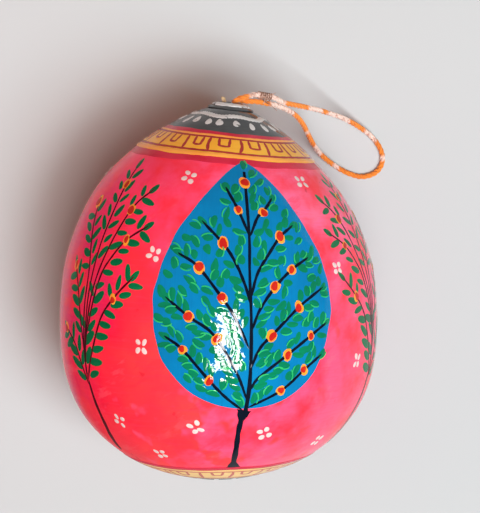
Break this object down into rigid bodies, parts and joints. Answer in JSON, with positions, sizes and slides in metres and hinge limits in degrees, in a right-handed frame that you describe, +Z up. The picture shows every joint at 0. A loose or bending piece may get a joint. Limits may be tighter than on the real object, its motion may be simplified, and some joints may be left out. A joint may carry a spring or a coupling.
{
  "type": "painted coconut",
  "caption": "Painted dried coconut ornament lying on its back, with a husk tip, a chalk ground under zones of gloss paint, a loose kernel inside and a cord loop that swings at the tip.",
  "frame": {"origin": "on the surface that the nut lies on, under the middle of the nut's box without its free cord", "axes": "+Y along the nut from its base to its tip, +Z up out of the painted front, +X to the right as seen from the front with the tip up"},
  "size_m": [0.1336, 0.1526, 0.1265],
  "materials": {
    "pink_paint": "varnished brushed paint",
    "blue_paint": "varnished brushed paint",
    "yellow_paint": "varnished brushed paint",
    "red_paint": "varnished brushed paint",
    "slate_paint": "varnished brushed paint",
    "white_paint": "varnished brushed paint",
    "dark_paint": "varnished brushed paint",
    "green_paint": "varnished brushed paint",
    "chalk": "matt chalk and glue",
    "shell": "scraped hard shell",
    "copra": "dried oily flesh",
    "husk": "coarse fibre",
    "peg_wood": "split, bare",
    "cord": "twisted cotton, dyed orange in patches",
    "thread": "thin brown binding"
  },
  "bodies": {
    "nut": {"base_coat": "slate_paint", "lower_band": "yellow_paint", "lower_line": "red_paint", "body_coat": "pink_paint", "leaf_panel": "blue_paint", "tree_wood": "dark_paint", "left_spray": "green_paint", "right_spray": "green_paint", "upper_line": "red_paint", "upper_band": "yellow_paint", "cap_line": "red_paint", "cap_coat": "slate_paint", "neck_collar": "white_paint", "chalk_ground": "chalk", "coconut_shell": "shell", "eye_plug": "peg_wood", "husk_tuft": "husk", "cord_peg": "peg_wood", "cord_stem_front": "cord", "cord_stem_back": "cord"},
    "hanger": {"cord_leg_front": "cord", "cord_leg_back": "cord", "cord_knot": "thread", "cord_loop": "cord", "knot_tail_upper": "thread", "knot_tail_lower": "thread"},
    "kernel": {"kernel": "copra"}
  },
  "joints": [
    {"name": "hanger_swing", "type": "hinge", "parent": "nut", "child": "hanger", "pos_m": [0.00594, 0.07448, 0.054], "axis": [0, 0, 1], "range_deg": [-5, 110]},
    {"name": "kernel_rattle", "type": "slide", "parent": "nut", "child": "kernel", "axis": [0, 0.082, 0.9966], "range_m": [0, 0.0054]}
  ]
}
